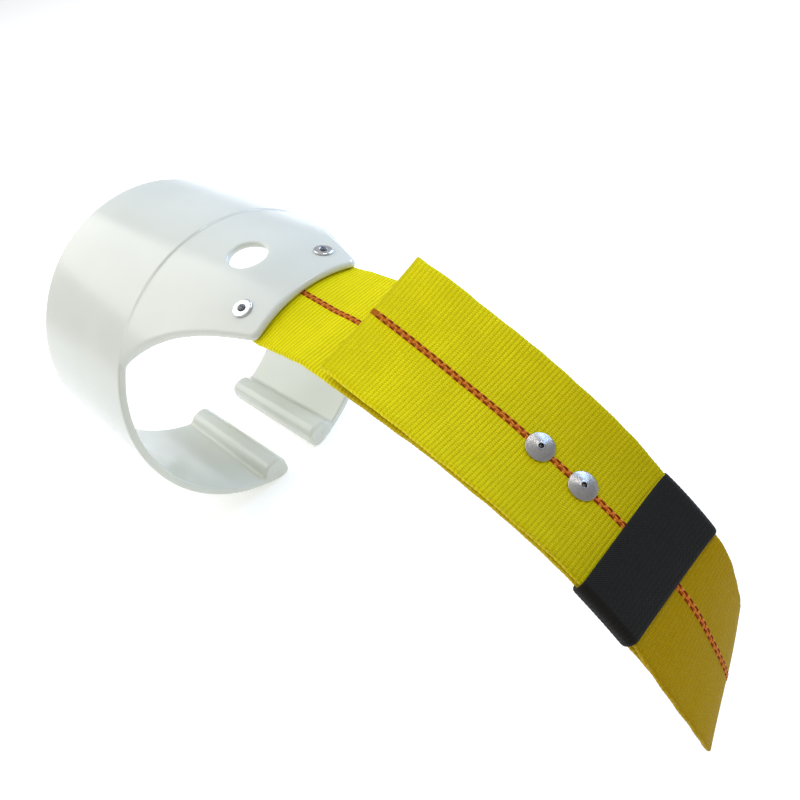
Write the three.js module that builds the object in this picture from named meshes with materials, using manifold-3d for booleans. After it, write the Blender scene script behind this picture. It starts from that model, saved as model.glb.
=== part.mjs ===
// Clip-on limb cuff with a webbing strap, in millimetres.
// +X runs along the cuff's axis towards the strap, +Z is up, +Y completes the right-handed frame.
// The model is drawn about the cuff's ring centre and then set down so that the origin is at the
// middle of the bounding box's bottom face.
import * as THREE from 'three';
import { mergeVertices } from 'three/addons/utils/BufferGeometryUtils.js';
import Module from 'manifold-3d';

// ---- driving dimensions (mm) ----
const R = 67.5;              // half width of the cuff ring, outside
const RING_B = 70.4;         // half height of the cuff ring, outside
const WALL = 3.5;            // wall of the cuff ring
const CUFF_L = 71.9;         // length of the ring along its axis
const LIP_Y1 = 8.8;          // lip bead: gap side
const LIP_Y2 = 21.6;         // lip bead: arm side
const LIP_TOP = -57.8;       // lip bead: top, below the ring centre
const LIP_R = 4.6;           // lip bead: corner radius
const TONGUE_L = 63.5;       // tongue, from the front rim to its tip
const TONGUE_T = 2.7;        // tongue thickness; its top starts just below the ring's outside
const HOLE_D = 18;           // round hole in the tongue
const HOLE_X = 32.1;
const CUFF_RIVET_X = 51.0;
const CUFF_RIVET_Y = 20.4;
const WEB_W = 50;            // webbing width
const WEB_T = 2.2;           // webbing thickness
const GAP = 0.33;            // clearance between pieces that touch
const FLEX_X = 80.0;         // where the webbing flexes beyond the tongue
const ARC_R = 117.65;        // top of the doubled webbing where the keeper slides
const ARC_A0 = 28.7;         // start and end of that arc, degrees from +Z towards +X
const ARC_A1 = 51.0;
const KEEP_A0 = 38.0;        // keeper sleeve
const KEEP_A1 = 48.7;
const KEEP_WALL = 1.6;
const KEEP_CLEAR = 0.42;
const FLANGE_D = 9.6;        // strap rivets
const CUFF_FLANGE_D = 7.8;   // cuff rivets

const wasm = await Module();
wasm.setup();

// ---- helpers ----
const DEG = Math.PI / 180;
function toSolid(geo) {
  const g = geo.clone();
  g.deleteAttribute('normal');
  g.deleteAttribute('uv');
  const m = mergeVertices(g, 1e-4);
  return new wasm.Manifold(new wasm.Mesh({
    numProp: 3,
    vertProperties: new Float32Array(m.attributes.position.array),
    triVerts: new Uint32Array(m.index.array),
  }));
}
function toGeometry(solid) {
  const m = solid.getMesh();
  const g = new THREE.BufferGeometry();
  g.setAttribute('position', new THREE.BufferAttribute(new Float32Array(m.vertProperties), 3));
  g.setIndex(new THREE.BufferAttribute(new Uint32Array(m.triVerts), 1));
  g.computeVertexNormals();
  return g;
}
function material(color, roughness, metalness) {
  return new THREE.MeshStandardMaterial({ color, roughness, metalness });
}
// A box whose vertices are carried onto fn(u 0..1, v -1..1, w -0.5..0.5).
function shaped(nu, nv, fn) {
  const g = new THREE.BoxGeometry(1, 1, 1, nu, nv, 1);
  const p = g.attributes.position;
  for (let i = 0; i < p.count; i++) {
    const q = fn(p.getX(i) + 0.5, p.getY(i) * 2, p.getZ(i));
    p.setXYZ(i, q[0], q[1], q[2]);
  }
  return g;
}
// An outline in (y, z) extruded along +X from x0 by depth.
function alongX(points, x0, depth) {
  const g = new THREE.ExtrudeGeometry(new THREE.Shape(points), { depth, bevelEnabled: false, steps: 1 });
  const m = new THREE.Matrix4().makeBasis(
    new THREE.Vector3(0, 1, 0), new THREE.Vector3(0, 0, 1), new THREE.Vector3(1, 0, 0));
  g.applyMatrix4(m);
  g.translate(x0, 0, 0);
  return g;
}
// An outline in (x, z) extruded along Y, centred on y = 0.
function alongY(points, width) {
  const g = new THREE.ExtrudeGeometry(new THREE.Shape(points), { depth: width, bevelEnabled: false, steps: 1 });
  const m = new THREE.Matrix4().makeBasis(
    new THREE.Vector3(1, 0, 0), new THREE.Vector3(0, 0, 1), new THREE.Vector3(0, -1, 0));
  g.applyMatrix4(m);
  g.translate(0, width / 2, 0);
  return g;
}
const V2 = (x, y) => new THREE.Vector2(x, y);
const Z = new THREE.Vector3(0, 0, 1);
function pinAt(origin, normal, radius, below, above) {
  const g = new THREE.CylinderGeometry(radius, radius, below + above, 20);
  g.rotateX(Math.PI / 2);
  g.translate(0, 0, (above - below) / 2);
  g.applyQuaternion(new THREE.Quaternion().setFromUnitVectors(Z, normal));
  g.translate(origin.x, origin.y, origin.z);
  return g;
}

// ---- cuff shell: open ring, lip beads and tongue, one moulding ----
function ringProfile() {
  const side = [];
  const tEnd = Math.PI - Math.asin((LIP_Y1 + LIP_R) / R);
  for (let i = 0; i <= 40; i++) {
    const t = (tEnd * i) / 40;
    side.push([R * Math.sin(t), RING_B * Math.cos(t)]);
  }
  const zb = RING_B * Math.cos(tEnd);
  for (const a of [30, 60, 90]) {
    side.push([LIP_Y1 + LIP_R - LIP_R * Math.sin(a * DEG), zb + LIP_R - LIP_R * Math.cos(a * DEG)]);
  }
  for (const a of [0, 30, 60, 90]) {
    side.push([LIP_Y1 + LIP_R - LIP_R * Math.cos(a * DEG), LIP_TOP - LIP_R + LIP_R * Math.sin(a * DEG)]);
  }
  for (const a of [0, 30, 60, 90]) {
    side.push([LIP_Y2 - LIP_R + LIP_R * Math.sin(a * DEG), LIP_TOP - LIP_R + LIP_R * Math.cos(a * DEG)]);
  }
  const ai = R - WALL, bi = RING_B - WALL;
  const tIn = Math.PI - Math.asin(LIP_Y2 / ai);
  for (let i = 40; i >= 0; i--) {
    const t = (tIn * i) / 40;
    side.push([ai * Math.sin(t), bi * Math.cos(t)]);
  }
  // side runs from the outer crest round the +Y arm and back to the inner crest
  const pts = side.map(([y, z]) => V2(y, z));
  for (let i = side.length - 2; i >= 1; i--) pts.push(V2(-side[i][0], side[i][1]));
  return pts;
}
const halfWidth = (() => {
  const xs = [0, 0.1, 0.2, 0.3, 0.4, 0.5, 0.6, 0.7, 0.8, 0.9, 0.97];
  const ws = [0.8, 0.745, 0.69, 0.635, 0.587, 0.545, 0.503, 0.466, 0.432, 0.395, 0.368];
  return (x) => {
    const s = x / R;
    if (s <= 0) return ws[0] * R;
    for (let i = 1; i < xs.length; i++) {
      if (s <= xs[i]) return R * (ws[i - 1] + ((ws[i] - ws[i - 1]) * (s - xs[i - 1])) / (xs[i] - xs[i - 1]));
    }
    return ws[ws.length - 1] * R;
  };
})();
// Upper surface of the tongue: an arch that tightens and falls towards the tip.
const archR = (x) => {
  const u = Math.max(0, x / R) / 0.966;
  return R * (0.985 - 0.10 * u + 0.24 * u * u);
};
const crest = (x) => R * (1.030 - 0.092 * Math.pow(Math.max(0, x / R) / 0.966, 2.2));
function archZ(x, y, drop) {
  const r = archR(x) - drop;
  return crest(x) - drop - r + Math.sqrt(Math.max(r * r - y * y, 0));
}
function archNormal(x, y) {
  const e = 0.5;
  return new THREE.Vector3(
    -(archZ(x + e, y, 0) - archZ(x - e, y, 0)) / (2 * e),
    -(archZ(x, y + e, 0) - archZ(x, y - e, 0)) / (2 * e), 1).normalize();
}
const tongue = shaped(20, 22, (u, v, w) => {
  const x = -2.6 + u * (TONGUE_L + 2.6);
  const y = v * halfWidth(x);
  return [x, y, archZ(x, y, (0.5 - w) * TONGUE_T)];
});
const rivetSeats = [-1, 1].map((s) => {
  const y = s * CUFF_RIVET_Y;
  return { s, o: new THREE.Vector3(CUFF_RIVET_X, y, archZ(CUFF_RIVET_X, y, 0)), n: archNormal(CUFF_RIVET_X, y) };
});
let shell = toSolid(alongX(ringProfile().reverse(), -CUFF_L, CUFF_L)).add(toSolid(tongue));
const holePin = new THREE.CylinderGeometry(HOLE_D / 2, HOLE_D / 2, 30, 32);
holePin.rotateX(Math.PI / 2);
holePin.translate(HOLE_X, 0, R);
shell = shell.subtract(toSolid(holePin));
for (const r of rivetSeats) shell = shell.subtract(toSolid(pinAt(r.o, r.n, 2.3, 12, 6)));

// ---- webbing ----
// Root: the part of the webbing that is clamped under the tongue and follows its arch.
const ROOT_X0 = 42, ROOT_X1 = FLEX_X - WEB_T / 2 - 0.35;
const rootTop = (x, y) => {
  const xt = Math.min(x, TONGUE_L);
  const z0 = archZ(xt, 0, TONGUE_T) - GAP - 0.05;
  const over = Math.max(0, x - TONGUE_L);
  const flat = 1 - 0.85 * Math.min(1, over / 15);
  return z0 - 0.13 * over - flat * 0.5 * y * y / R;
};
let root = toSolid(shaped(16, 10, (u, v, w) => {
  const x = ROOT_X0 + u * (ROOT_X1 - ROOT_X0), y = v * WEB_W / 2;
  return [x, y, rootTop(x, y) - (0.5 - w) * WEB_T];
}));
for (const r of rivetSeats) root = root.subtract(toSolid(pinAt(r.o, r.n, 2.3, 12, 6)));
const FLEX_Z = rootTop(FLEX_X, 0) - WEB_T / 2;

// Middle line of the strap in (x, z): lower run out, eye at the far end, upper run back.
const KX = 1.850 * R, KZ = -1.092 * R;
const onArc = (radius, deg) => [KX + radius * Math.sin(deg * DEG), KZ + radius * Math.cos(deg * DEG)];
const upperR = ARC_R - WEB_T / 2, lowerR = upperR - WEB_T - GAP;
const upperRun = [[1.503, 0.977], [1.69, 0.906], [1.868, 0.833], [2.039, 0.757], [2.18, 0.695], [2.32, 0.628], [2.50, 0.5285]]
  .map(([x, z]) => [x * R, z * R]);
const lowerRun = [[1.317, 0.845], [1.459, 0.824], [1.661, 0.778], [1.917, 0.722], [2.06, 0.690]].map(([x, z]) => [x * R, z * R]);
function offset(a, b, c, d) {
  const t = [c[0] - a[0], c[1] - a[1]], l = Math.hypot(t[0], t[1]);
  return [b[0] + (t[1] / l) * d, b[1] - (t[0] / l) * d];
}
const arcDegs = [];
for (let i = 0; i <= 8; i++) arcDegs.push(ARC_A0 + ((ARC_A1 - ARC_A0) * i) / 8);
const under = [4, 5, 6].map((i) => offset(upperRun[i - 1], upperRun[i], upperRun[i + 1] || onArc(upperR, ARC_A0), WEB_T + GAP));
const eye = [[3.222, -0.118], [3.232, -0.20], [3.222, -0.31], [3.215, -0.42], [3.230, -0.52], [3.278, -0.585],
  [3.338, -0.585], [3.386, -0.525], [3.397, -0.43], [3.372, -0.32], [3.312, -0.205], [3.252, -0.098]].map(([x, z]) => [x * R, z * R]);
const START_X = FLEX_X + WEB_T / 2 + 0.35;
const line = [[START_X, FLEX_Z - 0.13 * (START_X - FLEX_X)], ...lowerRun, ...under, ...arcDegs.map((a) => onArc(lowerR, a)),
  ...eye, ...arcDegs.slice().reverse().map((a) => onArc(upperR, a)), ...upperRun.slice().reverse()];
const curve = new THREE.CatmullRomCurve3(line.map(([x, z]) => new THREE.Vector3(x, 0, z)), false, 'centripetal');
const N = 130;
const mid = curve.getSpacedPoints(N);
const LENGTH = curve.getLength();
function station(u) {
  const k = Math.round(u * N), a = mid[Math.max(0, k - 1)], b = mid[Math.min(N, k + 1)];
  const t = new THREE.Vector3().subVectors(b, a).normalize();
  return { p: mid[k], n: new THREE.Vector3(-t.z, 0, t.x), s: u * LENGTH };
}
// The root's arch fades out over the first stretch, and the free end rolls a little.
function lift(s, y) {
  const a = Math.max(0, 1 - s / 9);
  const b = Math.max(0, 1 - (LENGTH - s) / 62);
  return -0.15 * 0.5 * a * y * y / R + 0.19 * b * b * (3 - 2 * b) * y;
}
let strap = toSolid(shaped(N, 6, (u, v, w) => {
  const q = station(u), y = v * WEB_W / 2;
  return [q.p.x + q.n.x * w * WEB_T, y, q.p.z + q.n.z * w * WEB_T + lift(q.s, y)];
}));
const topNormal = (deg) => new THREE.Vector3(Math.sin(deg * DEG), 0, Math.cos(deg * DEG));
const strapRivets = [
  { name: 'a', deg: ARC_A0 },
  { name: 'b', deg: ARC_A0 },
].map((r, i) => {
  const top = onArc(ARC_R, ARC_A0);
  const n = topNormal(r.deg);
  const back = i === 0 ? 17.4 : 0;
  const o = new THREE.Vector3(top[0] - n.z * back, 0, top[1] + n.x * back);
  if (i === 0) {
    // nearest point of the upper run's top face
    const m = mid.slice(Math.round(N * 0.6)).reduce((best, q) => (Math.abs(q.x - o.x) < Math.abs(best.x - o.x) ? q : best));
    const k = mid.indexOf(m), t = new THREE.Vector3().subVectors(mid[k - 1], mid[k + 1]).normalize();
    n.set(-t.z, 0, t.x);
    o.set(m.x + n.x * WEB_T / 2, 0, m.z + n.z * WEB_T / 2);
  }
  return { ...r, o, n };
});
for (const r of strapRivets) strap = strap.subtract(toSolid(pinAt(r.o, r.n, 2.1, 9, 5)));

// ---- keeper: closed sleeve of narrow webbing round both layers ----
function sector(r0, r1, a0, a1, steps) {
  const pts = [];
  for (let i = 0; i <= steps; i++) { const p = onArc(r1, a0 + ((a1 - a0) * i) / steps); pts.push(V2(p[0], p[1])); }
  for (let i = steps; i >= 0; i--) { const p = onArc(r0, a0 + ((a1 - a0) * i) / steps); pts.push(V2(p[0], p[1])); }
  return pts.reverse();
}
const bottomR = lowerR - WEB_T / 2;
const keeper = toSolid(alongY(sector(bottomR - KEEP_CLEAR - KEEP_WALL, ARC_R + KEEP_CLEAR + KEEP_WALL, KEEP_A0, KEEP_A1, 8),
  WEB_W + 2 * (KEEP_CLEAR + KEEP_WALL)))
  .subtract(toSolid(alongY(sector(bottomR - KEEP_CLEAR, ARC_R + KEEP_CLEAR, KEEP_A0 - 3, KEEP_A1 + 3, 12), WEB_W + 2 * KEEP_CLEAR)));
// Its lapped end and two rows of stitching, on the underside.
const lapR = bottomR - KEEP_CLEAR - KEEP_WALL - GAP;
const lap = toSolid(alongY(sector(lapR - 1.4, lapR, KEEP_A0 + 0.3, KEEP_A1 - 0.3, 6), 18));
const stitch = (y) => {
  const g = alongY(sector(lapR - 1.4 - GAP - 0.7, lapR - 1.4 - GAP, KEEP_A0 + 1, KEEP_A1 - 1, 5), 1.0);
  g.translate(0, y, 0);
  return g;
};

// ---- rivets: flange, shank and tail in one, a stub in the flange, and a backing washer ----
function lathe(profile, seg) {
  const g = new THREE.LatheGeometry(profile.map(([r, z]) => V2(r, z)), seg);
  g.rotateX(Math.PI / 2);
  return g;
}
// stack = material clamped under the flange; profiles are drawn with +Z out of the flange
function rivetBody(flangeD, flangeH, recessR, recessD, shankR, stack, tailR, tailH) {
  const f = flangeD / 2;
  const lo = -(stack + GAP + 0.9 + GAP);
  return lathe([
    [0, GAP + flangeH - recessD], [recessR, GAP + flangeH - recessD], [recessR, GAP + flangeH],
    [f * 0.55, GAP + flangeH * 0.92], [f * 0.82, GAP + flangeH * 0.66], [f, GAP + 0.35], [f, GAP],
    [shankR, GAP], [shankR, lo], [tailR, lo], [tailR, lo - tailH], [0, lo - tailH],
  ].map(([r, z]) => [r, -z]), 24).rotateX(Math.PI);
}
function washer(outer, inner, stack) {
  const z1 = -(stack + GAP), z0 = z1 - 0.9;
  return lathe([[inner, z0], [inner, z1], [outer, z1], [outer, z0], [inner, z0]].map(([r, z]) => [r, -z]), 24).rotateX(Math.PI);
}
function stub(radius, z0, z1) {
  const g = new THREE.CylinderGeometry(radius * 0.9, radius, z1 - z0, 16);
  g.rotateX(Math.PI / 2);
  g.translate(0, 0, (z0 + z1) / 2);
  return g;
}

// ---- assembly ----
const group = new THREE.Group();
const white = () => material('#e6ebe4', 0.28, 0);
const yellow = () => material('#c9b40a', 0.75, 0);
const black = () => material('#23231f', 0.85, 0);
const alloy = () => material('#b9bcbe', 0.35, 1);
const steel = () => material('#8f9294', 0.3, 1);
function put(name, geometry, mat, at, normal) {
  const m = new THREE.Mesh(geometry, mat);
  m.name = name;
  if (at) m.position.copy(at);
  if (normal) m.quaternion.setFromUnitVectors(Z, normal);
  group.add(m);
  return m;
}
put('cuff_shell', toGeometry(shell), white());
put('webbing_root', toGeometry(root), yellow());
put('webbing_strap', toGeometry(strap), yellow());
put('keeper_sleeve', toGeometry(keeper), black());
put('keeper_lap', toGeometry(lap), black());
put('keeper_stitch_a', stitch(-6), black());
put('keeper_stitch_b', stitch(6), black());
for (const r of rivetSeats) {
  const side = r.s < 0 ? 'near' : 'far';
  const stack = TONGUE_T + GAP + WEB_T + 0.9;
  put(`cuff_rivet_${side}`, rivetBody(CUFF_FLANGE_D, 1.0, 1.95, 0.4, 1.7, stack, 2.9, 1.0), steel(), r.o, r.n);
  put(`cuff_rivet_${side}_stub`, stub(1.6, GAP + 0.6 + GAP, GAP + 2.0), steel(), r.o, r.n);
  put(`cuff_washer_${side}`, washer(5.5, 2.1, stack), steel(), r.o, r.n);
}
for (const r of strapRivets) {
  const stack = 2 * WEB_T + GAP;
  put(`strap_rivet_${r.name}`, rivetBody(FLANGE_D, 1.35, 1.2, 1.0, 1.6, stack, 2.6, 1.0), alloy(), r.o, r.n);
  put(`strap_mandrel_${r.name}`, stub(0.85, GAP + 0.35 + GAP, GAP + 1.1), steel(), r.o, r.n);
  put(`strap_washer_${r.name}`, washer(4.8, 2.0, stack), alloy(), r.o, r.n);
}

// Set down: bottom of the box on z = 0, middle of the box on x = 0 and y = 0.
group.updateMatrixWorld(true);
const box = new THREE.Box3().setFromObject(group);
const ORIGIN_X = (box.min.x + box.max.x) / 2;
const ORIGIN_Z = box.min.z;
group.position.set(-ORIGIN_X, 0, -ORIGIN_Z);
group.updateMatrixWorld(true);

export default group;
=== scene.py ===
import math
import bmesh
import bpy
import numpy as np
from mathutils import Matrix, Vector


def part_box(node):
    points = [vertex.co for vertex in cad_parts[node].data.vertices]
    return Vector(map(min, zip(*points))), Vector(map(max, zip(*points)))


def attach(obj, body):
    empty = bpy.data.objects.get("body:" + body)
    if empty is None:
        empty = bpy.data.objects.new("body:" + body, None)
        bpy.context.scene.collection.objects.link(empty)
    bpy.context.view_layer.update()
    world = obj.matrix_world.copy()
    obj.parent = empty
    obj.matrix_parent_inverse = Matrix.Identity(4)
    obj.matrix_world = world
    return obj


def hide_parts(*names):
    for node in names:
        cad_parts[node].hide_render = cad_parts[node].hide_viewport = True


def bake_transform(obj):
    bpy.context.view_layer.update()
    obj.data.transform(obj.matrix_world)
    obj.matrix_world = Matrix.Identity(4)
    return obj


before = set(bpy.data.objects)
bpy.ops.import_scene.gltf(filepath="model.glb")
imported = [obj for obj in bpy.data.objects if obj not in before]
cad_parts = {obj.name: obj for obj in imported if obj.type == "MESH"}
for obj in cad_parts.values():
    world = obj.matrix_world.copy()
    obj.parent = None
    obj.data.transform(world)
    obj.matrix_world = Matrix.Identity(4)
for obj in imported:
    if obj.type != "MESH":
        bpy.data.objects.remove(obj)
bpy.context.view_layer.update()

MM = 0.001

# ------------------------------------------------------------------ frame of the ring, in mm
R = 67.5            # half width of the ring, outside
RB = 70.4           # half height of the ring, outside
W = 3.5             # ring wall
L = 71.9            # ring length
TIP = 63.5          # tongue tip
TT = 2.7            # tongue thickness
_lo, _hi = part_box("cuff_shell")
ORIGIN = np.array([_lo[0] / MM + L, 0.0, _hi[2] / MM - RB])   # ring centre on the front rim, in mm of the row frame
WEB_W, WEB_T, GAP = 50.0, 2.2, 0.33


def to_row(P):
    return (np.asarray(P, float) + ORIGIN) * MM


def new_mesh(name, verts_mm, faces, smooth=True):
    """A mesh object from ring-frame millimetres."""
    me = bpy.data.meshes.new(name)
    V = to_row(verts_mm)
    F = np.asarray(faces)
    me.vertices.add(len(V))
    me.vertices.foreach_set("co", V.astype(np.float32).ravel())
    me.loops.add(F.size)
    me.loops.foreach_set("vertex_index", F.astype(np.int32).ravel())
    me.polygons.add(len(F))
    k = F.shape[1]
    me.polygons.foreach_set("loop_start", np.arange(0, F.size, k, dtype=np.int32))
    me.polygons.foreach_set("loop_total", np.full(len(F), k, np.int32))
    me.update(calc_edges=True)
    me.validate()
    if smooth:
        me.polygons.foreach_set("use_smooth", np.ones(len(me.polygons), bool))
    ob = bpy.data.objects.new(name, me)
    bpy.context.scene.collection.objects.link(ob)
    return ob


def attribute(ob, name, values):
    a = ob.data.attributes.new(name, "FLOAT", "POINT")
    a.data.foreach_set("value", np.asarray(values, np.float32))


# ------------------------------------------------------------------ camera
CAM = np.array([4.17595565, -1.7876394, 3.2387651]) * R
RIGHT = Vector((0.69727549, 0.68146804, -0.22227957))
DOWN = Vector((0.36081386, -0.60163022, -0.71263907))
FWD = Vector((-0.61937085, 0.41670421, -0.66538512))
cam = bpy.data.objects.new("camera", bpy.data.cameras.new("camera"))
cam.data.sensor_width = 36.0
cam.data.lens = 36.0 * 800.8 / 800.0
cam.data.clip_start = 0.01
m = Matrix((RIGHT, -DOWN, -FWD)).transposed().to_4x4()
m.translation = Vector(to_row(CAM))
cam.matrix_world = m
bpy.context.scene.collection.objects.link(cam)
bpy.context.scene.camera = cam

# ------------------------------------------------------------------ surfaces shared by cuff and strap
def crest(x):
    return R * (1.030 - 0.092 * np.power(np.maximum(0, x / R) / 0.966, 2.2))


def crest_dx(x):
    return -0.092 * 2.2 / 0.966 * np.power(np.maximum(0, x / R) / 0.966, 1.2)


def arch_r(x):
    u = np.maximum(0, x / R) / 0.966
    return R * (0.985 - 0.10 * u + 0.24 * u * u)


def arch_dx(x):
    u = np.maximum(0, x / R) / 0.966
    return np.where(x > 0, (-0.10 + 0.48 * u) / 0.966, 0.0)


def arch_z(x, y, drop=0.0):
    r = arch_r(x) - drop
    return crest(x) - drop - r + np.sqrt(np.maximum(r * r - y * y, 1e-6))


_hx = np.array([0, 0.05, 0.1, 0.2, 0.3, 0.4, 0.5, 0.6, 0.7, 0.8, 0.9, 0.97]) * R
_hw = np.array([0.815, 0.775, 0.745, 0.688, 0.635, 0.587, 0.544, 0.504, 0.467, 0.432, 0.397, 0.370]) * R


def _smooth_table(xs, ys, x):
    """Piecewise cubic through the table (monotone data, three-point slopes)."""
    d = np.gradient(ys, xs)
    x = np.clip(x, xs[0], xs[-1])
    i = np.clip(np.searchsorted(xs, x) - 1, 0, len(xs) - 2)
    h = xs[i + 1] - xs[i]
    t = (x - xs[i]) / h
    a, b = ys[i], ys[i + 1]
    p, q = d[i] * h, d[i + 1] * h
    return a + t * (p + t * (3 * (b - a) - 2 * p - q + t * (2 * (a - b) + p + q)))


def half_width(x):
    return _smooth_table(_hx, _hw, x)


# ------------------------------------------------------------------ cuff moulding as a distance field
def smin(a, b, k):
    h = np.clip(0.5 + 0.5 * (b - a) / k, 0, 1)
    return b + (a - b) * h - k * h * (1 - h)


def smax(a, b, k):
    return -smin(-a, -b, k)


def rounded(a, b, r):
    """Intersection of two distances with a round edge of radius r."""
    a, b = a + r, b + r
    return np.minimum(np.maximum(a, b), 0) + np.hypot(np.maximum(a, 0), np.maximum(b, 0)) - r


def sdf_cuff(P):
    x, y, z = P[:, 0], P[:, 1], P[:, 2]
    ay = np.abs(y)
    # ring: slightly tapered ellipse wall with rounded rims
    s = 1.0 - 0.011 * np.clip(-x / L, 0, 1)
    ye, ze = y / s, z / s
    am, bm = R - W / 2, RB - W / 2
    k = np.sqrt((ye / am) ** 2 + (ze / bm) ** 2) + 1e-9
    g = np.sqrt((ye / am ** 2) ** 2 + (ze / bm ** 2) ** 2) / k + 1e-9
    dm = (k - 1) / g
    wall = np.abs(dm) - W / 2
    ends = np.abs(x + L / 2) - L / 2
    ring = rounded(wall, ends, 0.85)
    ring = np.where(z < 0, np.maximum(ring, 14.0 - ay), ring)
    # lip beads along the gap
    y2 = 21.2 + 1.0 * np.clip((x + L) / L, 0, 1)
    cy, hy = (8.8 + y2) / 2, (y2 - 8.8) / 2
    rl = 5.2
    top = -57.6 - 0.6 * np.clip(-x / L, 0, 1)
    cz, hz = (top - 74.0) / 2, (top + 74.0) / 2
    qy, qz = np.abs(ay - cy) - (hy - rl), np.abs(z - cz) - (hz - rl)
    lip2 = np.minimum(np.maximum(qy, qz), 0) + np.hypot(np.maximum(qy, 0), np.maximum(qz, 0)) - rl
    lip2 = rounded(lip2, dm - W / 2, 3.2)
    lip = rounded(lip2, ends, 1.7)
    d = smax(smin(ring, lip, 2.8), dm - W / 2, 0.4)
    d = rounded(d, ends, 0.5)
    # tongue: arch plate with a rounded outline
    r = arch_r(x)
    yc = np.minimum(ay, 0.97 * r)
    root = np.sqrt(r * r - yc * yc)
    zs = crest(x) - r + root
    zy = -yc / root
    rdx = arch_dx(x)
    zx = crest_dx(x) - rdx + r * rdx / root
    dz = (z - zs) / np.sqrt(1 + zx * zx + zy * zy)
    hw = half_width(x)
    arc = r * np.arcsin(np.clip(yc / r, 0, 1)) + (ay - yc)
    arch = r * np.arcsin(np.clip(hw / r, 0, 1))
    e = 0.5
    hw2 = half_width(x + e)
    slope = (arch_r(x + e) * np.arcsin(np.clip(hw2 / arch_r(x + e), 0, 1)) - arch) / e
    lat = (arc - arch) / np.sqrt(1 + slope * slope)
    out = rounded(lat, (x - TIP - 1.5 * (y / 25.0) ** 2) * 0.98, 2.6)
    out = np.maximum(out, -2.2 - x)
    plate = rounded(np.abs(dz + TT / 2) - TT / 2, out, 1.3)
    plate = np.where(z < 0, 9.0, plate)
    d = smin(d, plate, 0.6)
    # round hole, edges softened
    rho = np.hypot(x - 32.1, y - 0.4)
    d = np.where((z > 40) & (rho < 16), rounded(d, 7.8 - rho, 0.95), d)
    # small moulding mark on each lip's front face
    dim = 1.3 - np.sqrt((x - 0.9) ** 2 + (ay - 15.6) ** 2 + (z + 63.2) ** 2)
    d = smax(d, dim, 0.5)
    return d


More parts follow.
